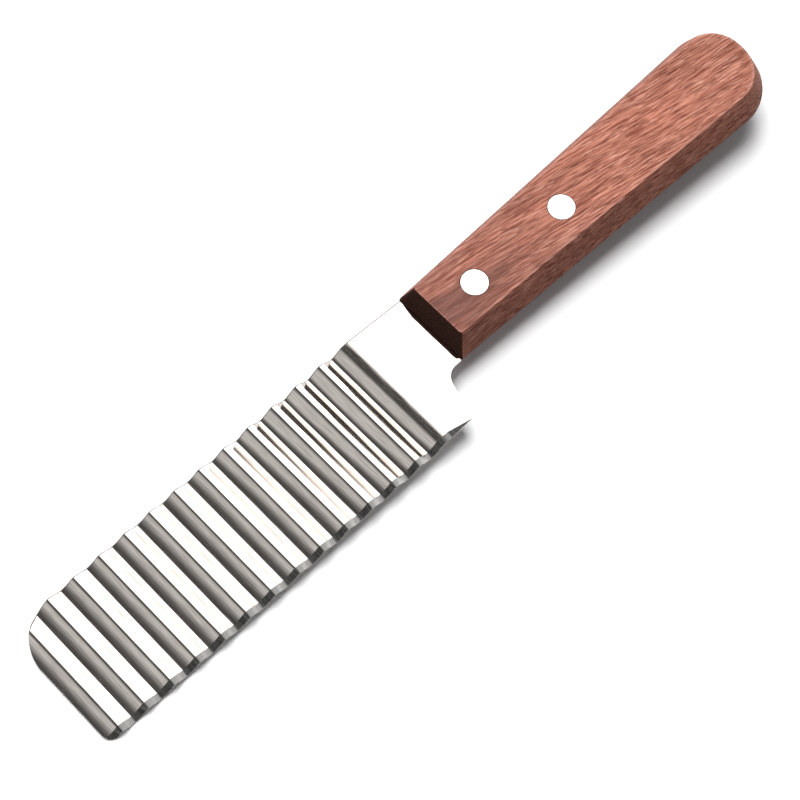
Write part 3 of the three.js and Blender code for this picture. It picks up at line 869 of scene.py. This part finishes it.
# %% Sizes of the handle, in mm
HANDLE_LENGTH = 118.3
FRONT_WIDTH = 22.8
BUTT_WIDTH = 28.8
BUTT_SPINE_RADIUS = 12.0
BUTT_EDGE_RADIUS = 14.5
FRONT_CORNER_RADIUS = 0.8
FRONT_STANDOUT = 2.0
FRONT_SIDE_STANDOUT = 3.0
BUTT_SIDE_STANDOUT = 3.6
BUTT_STANDOUT = 4.2
RIDGE_RADIUS = 2.0
FACE_EDGE_RADIUS = 0.5
FACE_MARGIN = 0.4  # a narrow strip inside the face's edge, so that the face itself shades flat
SLOT_CLEARANCE = 0.3
HEAD_DIAMETER = 7.3
HEAD_THICKNESS = 1.8
HEAD_CLEARANCE = 0.08  # the head is pressed in tight, so only a hair line shows
SIDE_STEPS = 12
face_z = (handle_high.z - handle_low.z) / 2
print("handle: half height", round(face_z, 2), "length", HANDLE_LENGTH)

# %% [markdown]
# The block could be a bevelled box, but its corners have radii of their own, and those of the butt get
# smaller towards the faces. So it is a loft from the lower face to the upper one, through plans that are each
# drawn with their own corners. The points on the arrises are marked for their paler colour, which is
# sanding wear and a painted highlight.


# %% Build the handle
def handle_ring(lean, z):
    """Plan of the handle at one height, from its ridge (lean 0) to its faces (lean 1)."""
    front, butt = front_x + lean * FRONT_STANDOUT, front_x + HANDLE_LENGTH - lean * BUTT_STANDOUT
    front_half = FRONT_WIDTH / 2 - lean * FRONT_SIDE_STANDOUT
    butt_half = BUTT_WIDTH / 2 - lean * BUTT_SIDE_STANDOUT
    draw = 2 * butt_half / BUTT_WIDTH
    plan = rounded([(front, -front_half, FRONT_CORNER_RADIUS), (butt, -butt_half, draw * BUTT_EDGE_RADIUS),
                    (butt, butt_half, draw * BUTT_SPINE_RADIUS), (front, front_half, FRONT_CORNER_RADIUS)],
                   ARC_STEPS)
    ring = []
    for here, there in zip(plan, plan[1:] + plan[:1]):
        parts = SIDE_STEPS if (there - here).length > FRONT_WIDTH else 1
        ring += [here.lerp(there, k / parts) for k in range(parts)]
    return [(point.x, centre_y + point.y, handle_low.z + face_z + z) for point in ring]


def handle_wall():
    """The wall from the lower to the upper face as (lean, height) pairs, with its bends rounded."""
    out = BUTT_SIDE_STANDOUT
    past = out + 2 * FACE_MARGIN
    wall = rounded([(past, -face_z, 0), (out, -face_z, FACE_EDGE_RADIUS), (0, 0, RIDGE_RADIUS),
                    (out, face_z, FACE_EDGE_RADIUS), (past, face_z, 0)], arc_steps=8)
    return [(max(0.0, point.x) / out, point.y) for point in wall]


block = bmesh.new()
wall = handle_wall()
loft(block, [handle_ring(lean, z) for lean, z in wall])
# Points on the arrises are marked for sanding wear and a painted highlight
wear_and_highlight_layer = block.verts.layers.float.new("arris_wear_and_highlight")
for i, point in enumerate(block.verts):
    lean, z = wall[i * len(wall) // len(block.verts)]
    point[wear_and_highlight_layer] = float(abs(z) > face_z - FACE_EDGE_RADIUS and lean < 1 + FACE_MARGIN / BUTT_SIDE_STANDOUT)
handle = new_piece("wooden_handle", block)
handle.data.materials.append(HANDLE_WOOD)
handle.data.materials.append(HANDLE_END)
print("handle blank:", len(handle.data.polygons), "faces")

# %% [markdown]
# The slot and the holes are cut as a joiner cuts them, after the block is shaped. The cutting shapes run a
# little past the wood, because a Boolean is unsure where two faces lie in one plane. At the front, where the
# block was sawn across, the faces get the end grain.

# %% Cut the slot and the rivet holes
CUT_MARGIN = 1.0  # how far a cutting shape runs past what it cuts
CUTTER_CORNER = 0.1  # radius of its corners outside the wood
END_FACING = -0.3  # front faces that look at least this far towards the tip are end grain

cutters = bmesh.new()
slot_half = TANG_WIDTH / 2 + SLOT_CLEARANCE
slot_end = tang_end + SEAT_GAP
slot_front = front_x - CUT_MARGIN
slot_plan = rounded([(slot_front, rivets[0].y - slot_half, CUTTER_CORNER),
                     (slot_end, rivets[0].y - slot_half, TANG_END_RADIUS + SLOT_CLEARANCE),
                     (slot_end, rivets[0].y + slot_half, TANG_END_RADIUS + SLOT_CLEARANCE),
                     (slot_front, rivets[0].y + slot_half, CUTTER_CORNER)], ARC_STEPS)
slot_height = SHEET / 2 + SLOT_CLEARANCE
loft(cutters, [[(p.x, p.y, sheet_z + side * slot_height) for p in slot_plan] for side in (-1, 1)])
cut(handle, new_piece("tang_slot", cutters))

head_radius = HEAD_DIAMETER / 2
seat = face_z - HEAD_THICKNESS - SEAT_GAP
middle_z = handle_low.z + face_z
bore = head_radius + HEAD_CLEARANCE
half_hole = [(hole_radius, seat), (bore, seat), (bore, face_z + CUT_MARGIN)]
hole = ([(radius, middle_z - z) for radius, z in reversed(half_hole)]
        + [(radius, middle_z + z) for radius, z in half_hole])
for rivet in rivets:
    stepped = bmesh.new()
    turned(stepped, hole, rivet.xy)
    cut(handle, new_piece("rivet_hole", stepped))
smooth(handle, sharpest=30)
for face in handle.data.polygons:
    at_front = face.center.x < (front_x + FRONT_STANDOUT + FACE_EDGE_RADIUS) * MM
    face.material_index = int(at_front and face.normal.x < END_FACING)
print("handle:", len(handle.data.polygons), "faces")

# %% [markdown]
# The rivets are cutler's rivets: a headed post pressed into a headed tube, with both heads ground flush with
# the wood. They are aluminium, turned on a lathe, so fine rings run round each head. The rings follow the
# distance from the rivet's own axis, which each point carries along as an attribute.

# %% Turned aluminium
ALUMINIUM = 0xE8E7E4
TURNING_MARK = 0.22  # mm between rings, drawn coarser than the real ones so that they show
TURNING_ROUGHNESS = (0.24, 0.34)
TURNING_DEPTH = 0.001  # mm


def turned_aluminium():
    material, tree, shader = new_material("aluminium_turned")
    shader.inputs["Base Color"].default_value = linear(ALUMINIUM)
    shader.inputs["Metallic"].default_value = 1.0
    radius = add_node(tree, "ShaderNodeAttribute", attribute_name="turn_radius").outputs["Fac"]
    rate = 2 * math.pi / TURNING_MARK
    phase = add_node(tree, MATHS, [radius, rate], operation="MULTIPLY")
    rings = add_node(tree, MATHS, [phase], operation="SINE")
    rough = add_node(tree, "ShaderNodeMapRange", [rings, -1.0, 1.0, *TURNING_ROUGHNESS])
    relief = add_node(tree, "ShaderNodeBump", {"Height": rings, "Distance": TURNING_DEPTH * MM})
    tree.links.new(rough.outputs[0], shader.inputs["Roughness"])
    tree.links.new(relief.outputs[0], shader.inputs["Normal"])
    return material


RIVET_METAL = turned_aluminium()
print("material:", RIVET_METAL.name)

# %% [markdown]
# Both halves of a rivet are turned, so each is one profile of radii and heights. A head could be closed by a
# single disc, but the turning marks need points at more than one radius, so it is closed by rings of faces.

# %% One rivet
POST_DIAMETER = 3.0
POST_CHAMFER = 0.4
PRESS_CLEARANCE = 0.15
HEAD_CHAMFER = 0.15
FACE_RINGS = (3.2, 2.6, 2.0, 1.4, 0.8, 0.2)


def one_rivet():
    """Both halves of a rivet on the Z axis, with its middle at the origin."""
    builder = bmesh.new()
    post, tube, bore_radius = POST_DIAMETER / 2, TUBE_DIAMETER / 2, POST_DIAMETER / 2 + PRESS_CLEARANCE
    under = face_z - HEAD_THICKNESS
    head = [(head_radius, under), (head_radius, face_z - HEAD_CHAMFER), (head_radius - HEAD_CHAMFER, face_z)]
    face = [(radius, face_z) for radius in FACE_RINGS]
    end = SEAT_GAP - under
    turned(builder, [(post - POST_CHAMFER, end), (post, end + POST_CHAMFER), (post, under)] + head + face)
    tube_end = under - SEAT_GAP
    turned(builder, [(radius, -z) for radius, z in face[::-1] + head[::-1]]
           + [(tube, -under), (tube, tube_end), (bore_radius, tube_end), (bore_radius, -under)])
    piece = new_piece("cutler_rivets", builder)
    radii = [vertex.co.xy.length / MM for vertex in piece.data.vertices]
    piece.data.attributes.new("turn_radius", "FLOAT", "POINT").data.foreach_set("value", radii)
    return piece


rivet_piece = one_rivet()
print("one rivet:", len(rivet_piece.data.polygons), "faces")

# %% [markdown]
# The same rivet sits in two places, in line along the handle. Geometry Nodes set it there: a line of points
# with a count and a spacing, the rivet on each point, and then real geometry again.


# %% Set the rivets
def rivet_row():
    tree = new_tree("rivet_row", {"Count": "Int", "First": "Vector", "Spacing": "Vector",
                                  "Metal": "Material"})
    given = add_node(tree, "NodeGroupInput").outputs
    line = add_node(tree, "GeometryNodeMeshLine",
                    {"Count": given["Count"], "Start Location": given["First"], "Offset": given["Spacing"]})
    placed = add_node(tree, "GeometryNodeInstanceOnPoints", {"Points": line, "Instance": given["Geometry"]})
    whole = add_node(tree, "GeometryNodeRealizeInstances", [placed])
    painted = add_node(tree, "GeometryNodeSetMaterial", {"Geometry": whole, "Material": given["Metal"]})
    add_node(tree, "NodeGroupOutput", [painted])
    return tree


run_tree(rivet_piece, rivet_row(), {
    "Count": len(rivets), "First": (rivets[0].x * MM, rivets[0].y * MM, middle_z * MM),
    "Spacing": (rivets[1] - rivets[0]) * MM, "Metal": RIVET_METAL,
})
smooth(rivet_piece, sharpest=30)
print("rivets:", len(rivet_piece.data.polygons), "faces")

# %% [markdown]
# Each piece now takes the place of its solids and rides on the knife's one body.

# %% Put the pieces on the frame
rivet_nodes = [f"{place}_rivet_{half}" for place in ("front", "rear") for half in ("post", "tube")]
for piece, slot, nodes in ((blank, "blade_steel", ["blade"]), (handle, "handle_wood", ["handle"]),
                           (rivet_piece, "rivet_metal", rivet_nodes)):
    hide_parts(*nodes)
    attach(piece, BODY)
print("pieces:", [piece.name for piece in (blank, handle, rivet_piece)])

# %% [markdown]
# The knife is heavier in front of the handle's lower edge than behind it, so on a table it tips forward until
# its tip touches. The floor passes through those two contacts. It is a plain white sheet. For rays from the
# camera and from mirrors it glows a little, which takes it to pure white and keeps the shadow. Far out, where
# the lamp no longer reaches, it glows fully, so that it meets the white background. A floor this near would
# throw much light up under the handle. A photographer stops that with black card beside the object. Here
# the floor is darker for the light that it scatters on.

# %% Floor
FLOOR_WHITE, FLOOR_BOUNCE = 0xF6F6F6, 0x8C8C8C
FLOOR_GLOW = 0.06
FLOOR_HALF = 6.0  # m
GLOW_FROM, GLOW_FULL = 0.35, 1.2  # m from the knife

tip_low = sheet_z - SHEET / 2 - WAVE_DEPTH
slope = (tip_low - handle_low.z) / (tip_x - (front_x + FRONT_STANDOUT))


def floor_height(x):
    """Height of the floor, in m, under a place along the knife."""
    return (x / MM - front_x - FRONT_STANDOUT) * slope * MM


floor_mesh = bpy.data.meshes.new("floor")
floor_mesh.from_pydata([(x, y, floor_height(x)) for x, y in
                        ((-FLOOR_HALF, -FLOOR_HALF), (FLOOR_HALF, -FLOOR_HALF),
                         (FLOOR_HALF, FLOOR_HALF), (-FLOOR_HALF, FLOOR_HALF))], [], [(0, 1, 2, 3)])
floor = bpy.data.objects.new("floor", floor_mesh)
bpy.context.collection.objects.link(floor)
material = bpy.data.materials.new("white_paper_sweep")
material.use_nodes = True
tree = material.node_tree
tree.nodes.clear()
light_path = add_node(tree, "ShaderNodeLightPath").outputs
white = add_node(tree, "ShaderNodeMix", {0: light_path["Is Diffuse Ray"], 6: linear(FLOOR_WHITE),
                                         7: linear(FLOOR_BOUNCE)}, data_type="RGBA")
paper = add_node(tree, "ShaderNodeBsdfDiffuse", {"Color": white.outputs[2]})
seen = add_node(tree, MATHS, [light_path["Is Camera Ray"], light_path["Is Glossy Ray"]],
                operation="MAXIMUM")
seen = add_node(tree, MATHS, [seen, light_path["Is Transmission Ray"]], operation="MAXIMUM")
far_out = add_node(tree, "ShaderNodeVectorMath", [add_node(tree, "ShaderNodeTexCoord").outputs["Object"]],
                   operation="LENGTH").outputs["Value"]
glow = add_node(tree, "ShaderNodeMapRange", [far_out, GLOW_FROM, GLOW_FULL, FLOOR_GLOW, 1.0])
glow = add_node(tree, MATHS, [seen, glow], operation="MULTIPLY")
glow = add_node(tree, "ShaderNodeEmission", {"Strength": glow})
both = add_node(tree, "ShaderNodeAddShader", [paper, glow])
add_node(tree, "ShaderNodeOutputMaterial", [both])
floor_mesh.materials.append(material)
print("floor tips", round(math.degrees(math.atan(slope)), 2), "degrees")

# %% [markdown]
# The light is a small studio. Lamps alone would show in the steel as small bright patches, so mirrors see a
# room that is painted by direction. A bright panel stands on the handle's side and reaches up past the mirror
# direction of the flat steel, so the flat and every flank that faces it are white. Overhead the room is dark,
# which gives the dark line over each crest, and it lightens again towards the tip. The edge's side is dark
# for the bevel, up to a grey wall far behind, which lights the steel in views from the spine's side. The
# camera sees plain white instead, and the wood and the floor get a weak fill.

# %% The room that mirrors see
PANEL, DARK, GREY, HORIZON = 2.9, 0.1, 0.66, 0.7
EDGE_DARK, EDGE_WALL, PANEL_END = 0.04, 0.6, 0.75  # the room on the edge's side
FILL = 0.1
# Where the parts of the room begin and end, as the X, Y or Z of a direction
PANEL_EDGE, SPINE_EDGE, WALL_EDGE, HORIZON_EDGE = (0.13, 0.28), (-0.5, 0.1), (-0.9, -0.62), (0.04, 0.22)
GREY_EDGE, GREY_POWER = (-0.85, 0.0), 2.5
ROOM_WHITE, FILL_BLUE = 0xFFFFFF, 0xF4F8FF

world = bpy.data.worlds.new("studio")
bpy.context.scene.world = world
world.use_nodes = True
world.cycles.sampling_method = "NONE"  # so that each ray finds the light that is meant for its kind
tree = world.node_tree
tree.nodes.clear()
looking = add_node(tree, "ShaderNodeTexCoord").outputs["Generated"]
x, y, z = add_node(tree, "ShaderNodeSeparateXYZ", [looking]).outputs
soft = {name: add_node(tree, "ShaderNodeMapRange", list(values), interpolation_type="SMOOTHSTEP")
        for name, values in {"panel": (x, *PANEL_EDGE, 0.0, 1.0), "spine": (y, *SPINE_EDGE, 0.0, 1.0),
                             "edge": (y, *WALL_EDGE, EDGE_WALL, EDGE_DARK),
                             "low": (z, *HORIZON_EDGE, HORIZON, 0.0)}.items()}
far = add_node(tree, "ShaderNodeMapRange", [x, *GREY_EDGE, 1.0, 0.0])
far = add_node(tree, MATHS, [far, GREY_POWER], operation="POWER")
far = add_node(tree, MATHS, [far, GREY, DARK], operation="MULTIPLY_ADD")
far = add_node(tree, MATHS, [far, soft["spine"]], operation="MULTIPLY")
room = add_node(tree, MATHS, [soft["spine"], PANEL - PANEL_END, PANEL_END],
                operation="MULTIPLY_ADD")
room = add_node(tree, MATHS, [room, soft["panel"]], operation="MULTIPLY")
for wall in (far, soft["edge"], soft["low"]):
    room = add_node(tree, MATHS, [room, wall], operation="MAXIMUM")
ray = add_node(tree, "ShaderNodeLightPath").outputs
level = add_node(tree, "ShaderNodeMix", [ray["Is Diffuse Ray"], None, room, FILL])
level = add_node(tree, "ShaderNodeMix", [ray["Is Camera Ray"], None, level, 1.0])
tint = add_node(tree, "ShaderNodeMix", {0: ray["Is Diffuse Ray"], 6: linear(ROOM_WHITE),
                                        7: linear(FILL_BLUE)}, data_type="RGBA")
background = add_node(tree, "ShaderNodeBackground", {"Color": tint.outputs[2], "Strength": level})
add_node(tree, "ShaderNodeOutputWorld", [background])
print("world:", world.name, "with", len(tree.nodes), "nodes")

# %% [markdown]
# One lamp from the spine's side lights the wood and the floor. It is large, so its shadow has a soft edge.
# Mirrors don't see it, because they have the panel.

# %% Lamp
LAMP_POWER = 54.0  # W
LAMP_SIZE = 1.15  # m
LAMP_AT = Vector((0.14, 0.48, 2.0))  # m

lamp_data = bpy.data.lights.new("overhead_softbox", "AREA")
lamp_data.energy = LAMP_POWER
lamp_data.size = LAMP_SIZE
lamp = bpy.data.objects.new("overhead_softbox", lamp_data)
lamp.location = LAMP_AT
lamp.rotation_euler = (-LAMP_AT).to_track_quat("-Z", "Y").to_euler()
lamp.visible_glossy = False
lamp.visible_camera = False
bpy.context.collection.objects.link(lamp)
bpy.context.scene.view_settings.view_transform = "Standard"
print("lamp:", lamp.name)
